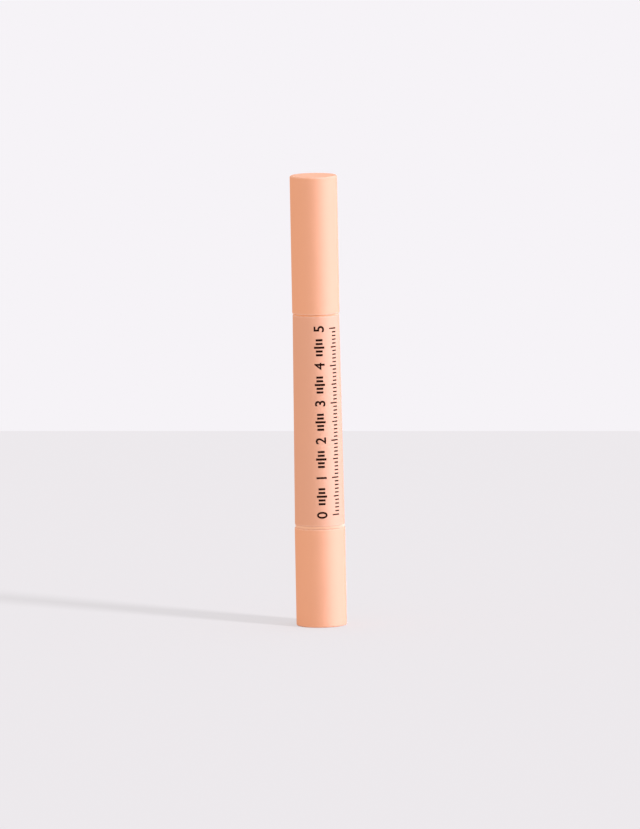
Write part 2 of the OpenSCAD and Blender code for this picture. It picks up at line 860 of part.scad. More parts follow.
knob_shell();
knob_core();
drive_sleeve();
drive_o_ring();
tail_bush();
ratchet_ring();
pawl_ring();
drive_nut();
lead_screw();
barrel_shell();
reservoir_tube();
piston();
piston_seal();
nozzle();
nozzle_o_ring();
cap_o_ring();
feed_tube();
brush_ferrule();
brush_bristles();
cap_liner();
cap_shell();
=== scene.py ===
# %% [markdown]
# # A twist-up nail oil pen
#
# The pen stands on its knob with its cap on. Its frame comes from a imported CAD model, in
# metres, with +Z up and the origin in the middle of the face that the pen stands on. This
# script dresses that frame: it makes finer outer shells, a fuller brush and a printed scale
# from formulas, gives every piece a finish, and sets a table, lamps and a camera.

# %% Load the frame
import math

import bmesh
import bpy
import numpy as np
from mathutils import Matrix, Vector


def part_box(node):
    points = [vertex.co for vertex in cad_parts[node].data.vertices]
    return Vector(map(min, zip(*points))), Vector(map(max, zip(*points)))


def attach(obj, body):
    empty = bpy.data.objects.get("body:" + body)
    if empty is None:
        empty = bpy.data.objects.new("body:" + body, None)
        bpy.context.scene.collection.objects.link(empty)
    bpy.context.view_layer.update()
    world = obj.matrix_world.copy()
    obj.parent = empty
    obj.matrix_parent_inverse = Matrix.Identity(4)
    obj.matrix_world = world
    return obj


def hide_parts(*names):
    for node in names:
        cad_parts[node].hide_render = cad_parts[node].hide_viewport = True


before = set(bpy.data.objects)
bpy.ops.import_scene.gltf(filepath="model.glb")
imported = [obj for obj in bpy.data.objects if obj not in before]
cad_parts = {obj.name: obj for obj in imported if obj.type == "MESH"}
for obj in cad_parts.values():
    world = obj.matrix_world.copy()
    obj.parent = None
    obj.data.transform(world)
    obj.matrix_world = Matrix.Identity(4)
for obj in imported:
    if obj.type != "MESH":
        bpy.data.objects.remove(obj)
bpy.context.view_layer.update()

print("pieces of the frame:", len(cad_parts))

# %% [markdown]
# ## The camera
#
# A product photographer stands far back with a long lens, so that a slim pen keeps its
# parallel sides. An orthographic camera would come close, but a lens far away is nearer to
# how such a picture is taken. The round top shows as a thin ellipse, and its height gives the
# angle at which the camera looks down. The pen leans a little to the left in the picture
# while it stands upright on the table, so the camera is rolled by that lean. The picture's
# scale and the pixel where the pen stands then fix where the camera aims.

# %% Place the camera
mm = 0.001
picture_width = 640
picture_height = 829
pixel = 0.2783 * mm
foot_pixel = (321.75, 624.7)
camera_distance = 5.0
camera_elevation = math.radians(6.7)
camera_roll = math.radians(1.08)
camera_reach = 100.0
sensor = 36.0

level_right = Vector((1, 0, 0))
forward = Vector((0, math.cos(camera_elevation), -math.sin(camera_elevation)))
level_up = level_right.cross(forward)
right = level_right * math.cos(camera_roll) - level_up * math.sin(camera_roll)
up = level_right * math.sin(camera_roll) + level_up * math.cos(camera_roll)

aim = right * (picture_width / 2 - foot_pixel[0]) * pixel
aim += up * (foot_pixel[1] - picture_height / 2) * pixel
camera_data = bpy.data.cameras.new("camera")
camera_data.sensor_width = sensor
camera_data.lens = sensor * camera_distance / (picture_height * pixel)
camera_data.clip_end = camera_reach
camera = bpy.data.objects.new("camera", camera_data)
bpy.context.scene.collection.objects.link(camera)
turn = Matrix((right, up, -forward)).transposed().to_4x4()
camera.matrix_world = Matrix.Translation(aim - forward * camera_distance) @ turn
bpy.context.scene.camera = camera
print("lens of", round(camera_data.lens), "mm at", camera_distance, "m")

# %% [markdown]
# ## Arrays into meshes
#
# Most of the pen is round, so most of its pieces are lathe work: an outline of radius and
# height, carried round the axis. The Screw modifier could turn it and Bevel could round it,
# but as arrays the outline is a short list of corners, each with a radius of its own. The
# turning is one product of arrays and the faces are sums of indices, so no loop walks over
# the points. Long straight runs of an outline get a second point close to each end. It holds
# the smooth shading of a rounded edge to that edge, where it would otherwise fade along the
# whole run.

# %% A mesh from points and faces
crease = math.radians(35)


def add_piece(name, points, faces):
    """A mesh object at the origin, smooth but for creases, from arrays of points and of faces."""
    mesh = bpy.data.meshes.new(name)
    mesh.from_pydata(points.reshape(-1, 3).tolist(), [], faces)
    mesh.validate()
    mesh.shade_smooth()
    mesh.set_sharp_from_angle(angle=crease)
    piece = bpy.data.objects.new(name, mesh)
    bpy.context.scene.collection.objects.link(piece)
    print(name, "has", len(mesh.polygons), "faces")
    return piece


def grid_faces(rows, columns, close_rows=False, close_columns=True):
    """Quads between neighbouring rows and columns of a grid, either of which may close.

    Corner (row, column) has the number row * columns + column, and a closed way round goes
    back from the last row or column to the first."""
    row = np.arange(rows if close_rows else rows - 1)[:, None]
    column = np.arange(columns if close_columns else columns - 1)[None, :]
    above = (row + 1) % rows
    beside = (column + 1) % columns
    quads = np.stack(
        [
            row * columns + column,
            row * columns + beside,
            above * columns + beside,
            above * columns + column,
        ],
        axis=-1,
    )
    return quads.reshape(-1, 4)


def join(parts):
    """One pair of points and faces from several: each part's faces count on from its first point."""
    starts = np.cumsum([0] + [len(points) for points, faces in parts])
    faces = [[i + start for i in face] for (_, faces), start in zip(parts, starts) for face in faces]
    return np.concatenate([points for points, _ in parts]), faces


# %% Outlines with rounded corners
hold = 0.06 * mm
long_run = 3 * hold
arc_steps = 8


def arc_at(before, corner, after, radius):
    """The round that replaces a corner: an arc of the radius that touches both its sides.

    It starts and ends radius / tan(half the corner's angle) from the corner, and its centre
    lies on the corner's bisector, radius / sin(half the angle) away."""
    if radius == 0:
        return corner[None]
    back = (before - corner) / np.linalg.norm(before - corner)
    ahead = (after - corner) / np.linalg.norm(after - corner)
    half = math.acos(np.clip(back @ ahead, -1, 1)) / 2
    bisector = (back + ahead) / np.linalg.norm(back + ahead)
    centre = corner + bisector * radius / math.sin(half)
    first = corner + back * radius / math.tan(half) - centre
    last = corner + ahead * radius / math.tan(half) - centre
    sweep = math.pi - 2 * half
    share = np.linspace(0, 1, arc_steps + 1)[:, None]
    return centre + (np.sin((1 - share) * sweep) * first + np.sin(share * sweep) * last) / math.sin(sweep)


def outline(corners, closed=True):
    """The points of an outline whose corners are (radius, height, rounding), in metres.

    Straight runs get a point a short way in from each end, to hold the shading of the edges."""
    table = np.array(corners, float)
    spots, rounding = table[:, :2], table[:, 2]
    count = len(spots)
    arcs = [arc_at(spots[i - 1], spots[i], spots[(i + 1) % count], rounding[i]) for i in range(count)]
    line = np.concatenate(arcs)
    after = np.roll(line, -1, axis=0)
    step = after - line
    length = np.linalg.norm(step, axis=1)[:, None]
    long = (length > long_run)[:, 0]
    if not closed:
        long[-1] = False
    inward = np.divide(step * hold, length, out=np.zeros_like(step), where=length > 0)
    trio = np.stack([line, line + inward, after - inward], axis=1).reshape(-1, 2)
    wanted = np.stack([np.full(len(line), True), long, long], axis=1).reshape(-1)
    return trio[wanted]


# %% The lathe
round_steps = 192


def turn_points(shape, steps):
    """Points round the axis: x = r cos(a), y = r sin(a), z = h, for every (r, h) and angle a."""
    angle = np.arange(steps) * 2 * np.pi / steps
    circle = np.stack([np.cos(angle), np.sin(angle)], axis=-1)
    flat = shape[:, None, :1] * circle[None]
    height = np.broadcast_to(shape[:, None, 1:], (len(shape), steps, 1))
    return np.concatenate([flat, height], axis=-1).reshape(-1, 3)


def turned(corners, steps=round_steps):
    """Points and faces of the closed skin that an outline leaves when it turns round the axis.

    The outline goes anticlockwise, with radius to the right and height up, so that the solid
    lies on its left. One that starts and ends on the axis gets a single point there at each
    end, and any other is joined from its last point back to its first."""
    on_axis = corners[0][0] == 0 and corners[-1][0] == 0
    shape = outline(corners, closed=not on_axis)
    if not on_axis:
        return turn_points(shape, steps), grid_faces(len(shape), steps, close_rows=True).tolist()
    ring = shape[1:-1]
    poles = [[0, 0, shape[0, 1]], [0, 0, shape[-1, 1]]]
    points = np.concatenate([turn_points(ring, steps), poles])
    here = np.arange(steps)
    beside = (here + 1) % steps
    last = (len(ring) - 1) * steps
    first_fan = np.stack([np.full(steps, len(points) - 2), beside, here], axis=-1)
    last_fan = np.stack([np.full(steps, len(points) - 1), last + here, last + beside], axis=-1)
    return points, grid_faces(len(ring), steps).tolist() + first_fan.tolist() + last_fan.tolist()


def lathe(name, corners, steps=round_steps):
    """A piece that is lathe work and nothing else."""
    return add_piece(name, *turned(corners, steps))


def extruded(shape, low, high):
    """A flat outline of (x, y) raised from one height to another, and closed at both."""
    count = len(shape)
    levels = [np.column_stack([shape, np.full(count, z)]) for z in (low, high)]
    ends = [list(range(count))[::-1], list(range(count, 2 * count))]
    return np.concatenate(levels), grid_faces(2, count).tolist() + ends


# %% [markdown]
# ## The three shells
#
# The cap and the knob are moulded cups and the barrel is a tube, all with a soft matt skin.
# What a viewer reads at this size is their edges: the cap's closed end has the softest one,
# the seams have small ones, and the knob's foot rolls under before it meets the table. The
# CAD's solids could be dressed as they are, but their rounds have few steps, so each shell is
# turned anew in finer ones. The radii and heights come from the frame, which keeps the shells
# exactly where the solids are.

# %% Measure the shells in the frame
press_gap = 0.02 * mm


def reach(node):
    """The outer radius and the lowest and highest heights of a round CAD node."""
    low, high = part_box(node)
    return high.x, low.z, high.z


cap_radius, cap_bottom, cap_top = reach("cap_shell")
barrel_foot_radius, barrel_bottom, barrel_top = reach("barrel_shell")
knob_radius, knob_bottom, knob_top = reach("knob_shell")
cap_bore = reach("cap_liner")[0] + press_gap
barrel_bore = reach("reservoir_tube")[0] + press_gap
knob_bore = reach("knob_core")[0] + press_gap
print("cap", round(2 * cap_radius / mm, 2), "mm, knob", round(2 * knob_radius / mm, 2), "mm across")

# %% Turn the cap's shell
cap_end_wall = 1.2 * mm
cap_top_round = 0.5 * mm
cap_mouth_round = 0.15 * mm
inner_round = 0.3 * mm

cap_skin = lathe(
    "cap_skin",
    [
        (0, cap_top - cap_end_wall, 0),
        (cap_bore, cap_top - cap_end_wall, inner_round),
        (cap_bore, cap_bottom, 0),
        (cap_radius, cap_bottom, cap_mouth_round),
        (cap_radius, cap_top, cap_top_round),
        (0, cap_top, 0),
    ],
)

# %% Turn the barrel's shell
#
# Two ribs inside keep the ratchet and the nut from turning. Each is a bar with its root in the wall.
barrel_head_radius = 6.475 * mm
barrel_edge_round = 0.2 * mm
rib_width = 1.2 * mm
rib_height = 0.4 * mm
rib_root = 0.2 * mm
rib_round = 0.12 * mm
rib_top = reach("drive_nut")[2]

barrel_wall = turned(
    [
        (barrel_bore, barrel_bottom, 0),
        (barrel_foot_radius, barrel_bottom, barrel_edge_round),
        (barrel_head_radius, barrel_top, barrel_edge_round),
        (barrel_bore, barrel_top, 0),
    ]
)
rib_shape = outline(
    [
        (barrel_bore - rib_height, -rib_width / 2, rib_round),
        (barrel_bore + rib_root, -rib_width / 2, 0),
        (barrel_bore + rib_root, rib_width / 2, 0),
        (barrel_bore - rib_height, rib_width / 2, rib_round),
    ]
)
ribs = [extruded(side * rib_shape, barrel_bottom, rib_top) for side in (1, -1)]
barrel_skin = add_piece("barrel_skin", *join([barrel_wall, *ribs]))

# %% Turn the knob's shell
knob_floor = 1.2 * mm
knob_foot_round = 0.45 * mm
knob_top_round = 0.2 * mm

knob_skin = lathe(
    "knob_skin",
    [
        (0, knob_bottom, 0),
        (knob_radius, knob_bottom, knob_foot_round),
        (knob_radius, knob_top, knob_top_round),
        (knob_bore, knob_top, 0),
        (knob_bore, knob_floor, inner_round),
        (0, knob_floor, 0),
    ],
)

# %% [markdown]
# ## What the cap hides
#
# With the cap off, the pen ends in a stepped nozzle, a slim ferrule and a tuft. The nozzle is
# one moulding: a plug in the reservoir, a thin flange that shows as the line at the seam, and
# a neck with a groove for the soft ring that holds the cap. Their solids in the CAD have
# sharp edges, which catch no light, so both mouldings are lathe work again, with the small
# rounds that a mould leaves.

# %% Turn the nozzle
mould_round = 0.08 * mm
plug_radius = 5.16 * mm
plug_bottom = 81.2 * mm
flange_height = 0.3 * mm
neck_radius = 4.3 * mm
neck_height = 7 * mm
tip_radius = 3.2 * mm
tube_seat = 0.77 * mm
funnel_radius = 3.5 * mm
socket_radius = 2.5 * mm
socket_gap = 0.05 * mm
ring_groove_depth = 0.55 * mm
ring_groove_half_share = 0.65

flange_radius = reach("nozzle")[0]
flange_top = barrel_top + flange_height
neck_top = flange_top + neck_height
nozzle_tip = reach("nozzle")[2]
tube_bottom = reach("feed_tube")[1]
socket_bottom = reach("brush_ferrule")[1] - socket_gap
ring_groove_half = ring_groove_half_share * ring_groove_depth
plug_ring_height = (plug_bottom + barrel_top) / 2
neck_ring_height = (flange_top + neck_top) / 2


def groove(radius, height):
    """The four corners of a square groove for a soft ring, going up a shaft of that radius."""
    low, high = height - ring_groove_half, height + ring_groove_half
    floor = radius - ring_groove_depth
    edge = mould_round / 2
    return [(radius, low, edge), (floor, low, edge), (floor, high, edge), (radius, high, edge)]


nozzle_moulding = lathe(
    "nozzle_moulding",
    [
        (tube_seat, tube_bottom, 0),
        (funnel_radius, plug_bottom, mould_round),
        (plug_radius, plug_bottom, mould_round),
        *groove(plug_radius, plug_ring_height),
        (plug_radius, barrel_top, 0),
        (flange_radius, barrel_top, 0),
        (flange_radius, flange_top, mould_round),
        (neck_radius, flange_top, mould_round),
        *groove(neck_radius, neck_ring_height),
        (neck_radius, neck_top, 4 * mould_round),
        (tip_radius, nozzle_tip, 2 * mould_round),
        (socket_radius, nozzle_tip, 0),
        (socket_radius, socket_bottom, 0),
        (tube_seat, socket_bottom, 0),
    ],
)

# %% Turn the ferrule
stem_radius = 2.48 * mm
ferrule_flange_height = 0.6 * mm
ferrule_base_radius = 2.7 * mm
ferrule_mouth_radius = 2.3 * mm
tuft_socket_radius = 2 * mm
tuft_socket_depth = 3.7 * mm

ferrule_flange_radius, ferrule_bottom, ferrule_mouth = reach("brush_ferrule")
ferrule_flange_top = nozzle_tip + ferrule_flange_height
tuft_bottom = ferrule_mouth - tuft_socket_depth

ferrule_moulding = lathe(
    "ferrule_moulding",
    [
        (tube_seat, ferrule_bottom, 0),
        (stem_radius, ferrule_bottom, mould_round),
        (stem_radius, nozzle_tip, 0),
        (ferrule_flange_radius, nozzle_tip, 0),
        (ferrule_flange_radius, ferrule_flange_top, 2 * mould_round),
        (ferrule_base_radius, ferrule_flange_top, mould_round),
        (ferrule_mouth_radius, ferrule_mouth, mould_round),
        (tuft_socket_radius, ferrule_mouth, mould_round),
        (tuft_socket_radius, tuft_bottom, 0),
        (tube_seat, tuft_bottom, 0),
    ],
)

# %% [markdown]
# ## The tuft
#
# A cosmetic brush of this kind holds over a thousand nylon bristles, each about as thick as
# a hair. Hair particles would grow them in one step, but hair isn't a mesh, and here every
# piece has to be one. Each bristle stands on its own place in a ring round the feed tube, and
# places spaced by the golden angle fill a ring evenly without rows. The tuft widens and
# closes by the same share for all bristles at the same height, which keeps them in their
# order, and each leans by a hair's breadth of its own and ends in a taper. The outer ones are
# shorter, which gives the tuft its point. All the small tubes are one array: bristle, station
# along it, and side round it.

# %% Grow the bristles
bristle_count = 1200
bristle_radius = 0.036 * mm
bristle_sides = 5
bristle_stations = 11
root_height = 0.9 * mm
belly_height = 4.5 * mm
tuft_inner = 0.82 * mm
belly_share = 1.05
tip_share = 0.3
fullness = 0.8
station_crowding = 0.8
round_off = 3.2 * mm
uneven_ends = 0.5 * mm
stray = 0.05 * mm
taper_start_share = 0.7
taper_loss_share = 0.75
tuft_seed = 11
golden_angle = math.pi * (3 - math.sqrt(5))

tuft_tip = reach("brush_bristles")[2]
tuft_root = tuft_bottom + root_height
tuft_belly = ferrule_mouth + belly_height
tuft_outer = tuft_socket_radius - press_gap - bristle_radius


def tuft_share(height):
    """How wide the tuft is at a height, as a share of its root.

    It widens smoothly from the mouth to the belly, then closes to the tip as a power of
    1 - cos: the smaller the power, the sooner it closes."""
    up = np.clip((height - ferrule_mouth) / (tuft_belly - ferrule_mouth), 0, 1)
    on = np.clip((height - tuft_belly) / (tuft_tip - tuft_belly), 0, 1)
    widening = 1 + (belly_share - 1) * up * up * (3 - 2 * up)
    return widening - (belly_share - tip_share) * (1 - np.cos(on * np.pi / 2)) ** fullness


def grow_bristles():
    """Tubes: middle (r s(z) cos a, r s(z) sin a, z), with a circle of bristle_radius round it.

    Stations crowd a little towards the tip, where the tube bends and tapers most."""
    order = np.arange(bristle_count)
    share = (order + 0.5) / bristle_count
    root = np.sqrt(tuft_inner**2 + (tuft_outer**2 - tuft_inner**2) * share)
    angle = order * golden_angle
    chance = np.random.default_rng(tuft_seed)
    short = round_off * (root / tuft_outer) ** 2 + chance.random(bristle_count) * uneven_ends
    end = tuft_tip - short
    along = np.linspace(0, 1, bristle_stations) ** station_crowding
    height = tuft_root + (end - tuft_root)[:, None] * along[None]
    radius = root[:, None] * tuft_share(height)
    lean = chance.normal(0, stray, (bristle_count, 1, 2)) * along[None, :, None] ** 3
    middle = radius[..., None] * np.stack([np.cos(angle), np.sin(angle)], axis=-1)[:, None] + lean
    taper = np.clip((along - taper_start_share) / (1 - taper_start_share), 0, 1)
    thin = bristle_radius * (1 - taper_loss_share * taper**2)
    turn = np.arange(bristle_sides) * 2 * np.pi / bristle_sides
    circle = np.stack([np.cos(turn), np.sin(turn)], axis=-1)
    flat = middle[:, :, None] + thin[None, :, None, None] * circle[None, None]
    level = np.broadcast_to(height[:, :, None, None], (*height.shape, bristle_sides, 1))
    points = np.concatenate([flat, level], axis=-1)
    tube = grid_faces(bristle_stations, bristle_sides)
    size = bristle_stations * bristle_sides
    faces = (tube[None] + (order * size)[:, None, None]).reshape(-1, 4).tolist()
    low_cap = order[:, None] * size + np.arange(bristle_sides)[None, ::-1]
    high_cap = order[:, None] * size + size - bristle_sides + np.arange(bristle_sides)[None]
    return points, faces + low_cap.tolist() + high_cap.tolist()


bristles = add_piece("bristles", *grow_bristles())

# %% Turn the glue that holds them
glue_cover = 0.1 * mm
glue_steps = 96
glue_radius = tuft_socket_radius - press_gap
glue_top = tuft_root + glue_cover

glue = lathe(
    "bristle_root",
    [
        (tube_seat, tuft_bottom, 0),
        (glue_radius, tuft_bottom, 0),
        (glue_radius, glue_top, mould_round),
        (tube_seat, glue_top, mould_round),
    ],
    steps=glue_steps,
)

# %% [markdown]
# ## The print
#
# A plain scale is printed up the barrel in a brown that is nearly black: a column of bold
# numbers with short bars between them, and beside it a column of fine ticks. It could be a
# picture laid on the barrel, but a picture blurs close up and marks of mesh stay sharp. Print
# is a film of ink, so each mark is a thin slab that follows the taper and the curve of the
# barrel. Bars are bent boxes. The numbers are text that is made into a mesh, drawn bolder,
# given a thickness, cut into narrow strips so that it can bend, and wrapped.

# %% Wrap flat marks on the barrel
ink_reach = 0.02 * mm
bend_step = 0.25 * mm
least_columns = 3


def wrap(across, height, rise):
    """Puts flat marks on the barrel's front, which faces -Y.

    The surface's radius falls steadily from the foot to the head. A place at a distance
    across is at the angle distance / radius from the front, and stands out by the rise."""
    share = (height - barrel_bottom) / (barrel_top - barrel_bottom)
    radius = barrel_foot_radius + (barrel_head_radius - barrel_foot_radius) * share
    angle = across / radius
    return np.stack(
        [(radius + rise) * np.sin(angle), -(radius + rise) * np.cos(angle), height], axis=-1
    )


def bar(middle, width, height, thickness):
    """A bent box, as far out of the barrel's surface as into it, carried across the barrel."""
    columns = max(least_columns, int(width / bend_step) + 2)
    across = middle + np.linspace(-width / 2, width / 2, columns)
    low, high = height - thickness / 2, height + thickness / 2
    corners = [(low, -ink_reach), (low, ink_reach), (high, ink_reach), (high, -ink_reach)]
    points = np.stack([wrap(across, np.full(columns, z), rise) for z, rise in corners])
    faces = grid_faces(4, columns, close_rows=True, close_columns=False)
    ends = [[k * columns for k in range(4)], [k * columns + columns - 1 for k in (3, 2, 1, 0)]]
    return points.reshape(-1, 3), [*faces.tolist(), *ends]


# %% Set the scale's bars and ticks
scale_bottom = 31.5 * mm
scale_pitch = 1.04 * mm
scale_steps = 50
number_every = 10
bars_each_side = 2
bold_across = 0.75 * mm
bold_width = 2.9 * mm
bold_stroke = 0.6 * mm
bold_short_share = 0.66
fine_across = 6.2 * mm
fine_width = 2.4 * mm
fine_stroke = 0.36 * mm
fine_half_share = 0.8
fine_short_share = 0.6

marks = []
for step in range(scale_steps + 1):
    height = scale_bottom + step * scale_pitch
    past_number = step % number_every
    from_half = abs(past_number - number_every // 2)
    share = 1 if past_number == 0 else fine_half_share if from_half == 0 else fine_short_share
    marks.append(bar(fine_across - fine_width * share / 2, fine_width * share, height, fine_stroke))
    if from_half <= bars_each_side:
        share = 1 if from_half == 0 else bold_short_share
        marks.append(bar(bold_across, bold_width * share, height, bold_stroke))
print(len(marks), "bars and ticks")

# %% Set the numbers
number_size = 4 * mm
number_bolder = 0.07 * mm
strip = 0.3 * mm
weld = 1e-7


def embolden(flat, width):
    """Moves the outline of a flat mesh outwards by a width, which makes its strokes bolder.

    Where two edges with outward normals m and n meet, the point moves by
    (m + n) * width / (1 + m . n), and both edges end up just that width further out."""
    steps = []
    for vert in flat.verts:
        loops = [edge.link_loops[0] for edge in vert.link_edges if edge.is_boundary]
        m, n = [
            (loop.link_loop_next.vert.co - loop.vert.co).cross(loop.face.normal).normalized()
            for loop in loops
        ]
        steps.append((m + n) * width / (1 + m.dot(n)))
    for vert, step in zip(flat.verts, steps):
        vert.co += step


def number_mesh(text):
    """A number's outline filled as a mesh, made bolder and thick, and cut into narrow strips."""
    letters = bpy.data.curves.new("number", "FONT")
    letters.body = text
    letters.size = number_size
    letters.align_x = "CENTER"
    letters.align_y = "CENTER"
    holder = bpy.data.objects.new("number", letters)
    flat = bpy.data.meshes.new_from_object(holder)
    bpy.data.objects.remove(holder)
    bpy.data.curves.remove(letters)
    cut = bmesh.new()
    cut.from_mesh(flat)
    bmesh.ops.remove_doubles(cut, verts=cut.verts, dist=weld)
    embolden(cut, number_bolder)
    bmesh.ops.solidify(cut, geom=cut.faces[:], thickness=2 * ink_reach)
    for cut_at in np.arange(-number_size, number_size, strip):
        geometry = cut.verts[:] + cut.edges[:] + cut.faces[:]
        bmesh.ops.bisect_plane(cut, geom=geometry, plane_co=(0, cut_at, 0), plane_no=(0, 1, 0))
    bmesh.ops.recalc_face_normals(cut, faces=cut.faces)
    cut.verts.ensure_lookup_table()
    points = np.array([v.co for v in cut.verts])
    faces = [[v.index for v in f.verts] for f in cut.faces]
    cut.free()
    bpy.data.meshes.remove(flat)
    return points, faces


for step in range(0, scale_steps + 1, number_every):
    points, faces = number_mesh(str(step // number_every))
    points = points - (points.max(0) + points.min(0)) / 2
    height = scale_bottom + step * scale_pitch + points[:, 0]
    marks.append((wrap(bold_across - points[:, 1], height, points[:, 2]), faces))

scale_print = add_piece("scale_print", *join(marks))

# %% [markdown]
# ## Keep the pieces on their bodies
#
# The cap pulls off and the knob turns with everything inside them. Parenting by hand could do
# that too, but the frame already knows its bodies. So a new piece that stands for a CAD node
# takes its place and rides on the same body. The glue and the print stand for no node, and
# only ride.

# %% Ride and replace
for piece, body, node, slot in [
    (cap_skin, "cap", "cap_shell", "skin_cap"),
    (barrel_skin, "barrel", "barrel_shell", "skin_barrel"),
    (knob_skin, "knob", "knob_shell", "skin_knob"),
    (nozzle_moulding, "barrel", "nozzle", "skin_moulding"),
    (ferrule_moulding, "barrel", "brush_ferrule", "natural_moulding"),
    (bristles, "barrel", "brush_bristles", "bristle"),
    (glue, "barrel", None, "bristle"),
    (scale_print, "barrel", None, "skin_barrel"),
]:
    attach(piece, body)
    if node:
        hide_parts(node)
    print(piece.name, "rides on the", body)

# %% [markdown]
# ## Shader sums
#
# A procedural finish is arithmetic on patterns: a grain here, less of it near an edge. Nodes
# can be added and linked one by one, but then a sum of a few patterns takes a dozen lines.
# The class below wraps one output of a shader tree, so that the arithmetic can be written as
# it is read. Every operator adds a Math node, and one method adds any other kind of node.

# %% A socket that can be used in sums
class Wire:
    """One output in a shader tree. Sums and products of wires and numbers add Math nodes."""

    def __init__(self, tree, output=None):
        self.tree = tree
        self.output = output

    def node(self, kind, settings=None, inputs=None, output=0):
        """Adds a node: its settings first, then its sockets, each from a value or a wire."""
        made = self.tree.nodes.new(kind)
        for key, value in (settings or {}).items():
            setattr(made, key, value)
        for key, value in (inputs or {}).items():
            if isinstance(value, Wire):
                self.tree.links.new(value.output, made.inputs[key])
            else:
                made.inputs[key].default_value = value
        return Wire(self.tree, made.outputs[output] if made.outputs else None)

    def math(self, operation, *values):
        """One Math node whose inputs are this wire and the values."""
        inputs = dict(enumerate((self, *values)))
        return self.node("ShaderNodeMath", {"operation": operation}, inputs)

    def __add__(self, other):
        return self.math("ADD", other)

    def __radd__(self, other):
        return self.math("ADD", other)

    def __sub__(self, other):
        return self.math("SUBTRACT", other)

    def __rsub__(self, other):
        return self.node("ShaderNodeMath", {"operation": "SUBTRACT"}, {0: other, 1: self})

    def __mul__(self, other):
        return self.math("MULTIPLY", other)

    def __rmul__(self, other):
        return self.math("MULTIPLY", other)


# %% [markdown]
# ## Patterns that several finishes share
#
# Wear, grain and flow marks are patterns in space. An unwrapped picture could hold them, but
# it would need a layout for every piece, and Object coordinates need none. They are in metres
# from the pen's own origin. A noise of scale s has grains about 1 / s metres wide, so the
# helper takes the grain's width and works the scale out.

# %% Places, noises and edges
def start(name):
    """An empty material, and a wire in its tree to build from."""
    material = bpy.data.materials.new(name)
    material.use_nodes = True
    material.node_tree.nodes.clear()
    return material, Wire(material.node_tree)


def place(wire, shift=0.0):
    """Object coordinates, moved along by a shift in metres so that two pieces differ."""
    spot = wire.node("ShaderNodeTexCoord", output="Object")
    return wire.node("ShaderNodeMapping", inputs={"Vector": spot, "Location": (shift, shift, shift)})


def stretch(spot, scale):
    """The same places with each axis scaled, so that a pattern on them is longer or flat."""
    return spot.node("ShaderNodeMapping", inputs={"Vector": spot, "Scale": scale})


def noise(spot, width, detail=2.0, roughness=0.5):
    """A smooth noise from 0 to 1 whose grains are about that wide."""
    inputs = {"Vector": spot, "Scale": 1 / width, "Detail": detail, "Roughness": roughness}
    return spot.node("ShaderNodeTexNoise", inputs=inputs, output="Fac")


def ramp(value, low, high):
    """Rises smoothly from 0 at low to 1 at high, and falls where high is the smaller."""
    inputs = {"Value": value, "From Min": low, "From Max": high}
    return value.node("ShaderNodeMapRange", {"interpolation_type": "SMOOTHSTEP"}, inputs)


def height_of(spot):
    """The height above the table, in metres."""
    return spot.node("ShaderNodeSeparateXYZ", inputs={"Vector": spot}, output="Z")


def near_heights(wire, heights, width):
    """1 at any of the heights and 0 at more than a width away, on the piece's own axis."""
    height = height_of(place(wire))
    masks = [ramp((height - h).math("ABSOLUTE"), width, 0.0) for h in heights]
    total = masks[0]
    for mask in masks[1:]:
        total = total.math("MAXIMUM", mask)
    return total


def near_rim(wire, inside, outside):
    """0 nearer the piece's axis than the first radius and 1 further out than the second."""
    spot = place(wire)
    flat = stretch(spot, (1, 1, 0))
    radius = flat.node("ShaderNodeVectorMath", {"operation": "LENGTH"}, {0: flat}, output="Value")
    return ramp(radius, inside, outside)


def tint(wire, amount, first, second):
    """Mixes two colours by an amount from 0 to 1."""
    return wire.node(
        "ShaderNodeMix",
        {"data_type": "RGBA"},
        {"Factor": amount, "A": first, "B": second},
        output="Result",
    )


def linear(red, green, blue):
    """A colour written as screen values from 0 to 255, as linear light with full alpha."""
    screen = np.array([red, green, blue]) / 255
    light = np.where(screen <= 0.04045, screen / 12.92, ((screen + 0.055) / 1.055) ** 2.4)
    return (*light.tolist(), 1.0)


def shade(colour, share):
    """A darker shade of a colour: the share of its light that is left."""
    return (*(c * share for c in colour[:3]), 1.0)


def relief(wire, height, depth, strength):
    """A bump from a pattern of heights, whose full range is the depth."""
    return wire.node(
        "ShaderNodeBump",
        inputs={"Height": height, "Distance": depth, "Strength": strength},
        output="Normal",
    )


def surface(material, shader):
    """Connects a shader to the material's output."""
    shader.node("ShaderNodeOutputMaterial", inputs={"Surface": shader})
    return material


# %% [markdown]
# ## The soft skin
#
# The shells look like velvet more than like paint: a thin soft-touch lacquer over plastic. It
# has no sharp highlight, its shine hardly grows where light grazes it, and its grain is about
# a hair wide. A rough plastic alone would turn white at the rims, and so would a sheen. So
# the plastic's own shine is off, and a coat of small weight and high index gives one that is
# nearly the same at all angles. Handling polishes the lacquer in patches, and rubs it paler in
# flecks along the rims. Near the heights of its edges, in a band round each and across the
# whole of the flat ends, the skin is also painted evenly paler: that is a painted highlight
# for the light that falls on the ends, not wear. The patches, the flecks and the painted
# highlight are masks: all lower its roughness by about a tenth, and the flecks and the painted
# highlight also mix in a paler colour. The barrel's apricot is a shade duskier than that of
# the cap and the knob.

# %% Mix the soft skin
apricot = linear(241, 165, 121)
apricot_dusky = linear(232, 162, 124)
# the paler colour of the painted highlight near the edges and of the worn flecks
apricot_highlight_and_wear = linear(249, 200, 174)
highlight_and_wear_reach = 0.55 * mm
flat_end_radius = 5.3 * mm
flecked_radius = 6.1 * mm
# even share of the painted highlight near the edge heights and across the flat ends
even_painted_highlight = 0.7
fleck_rub = 0.6


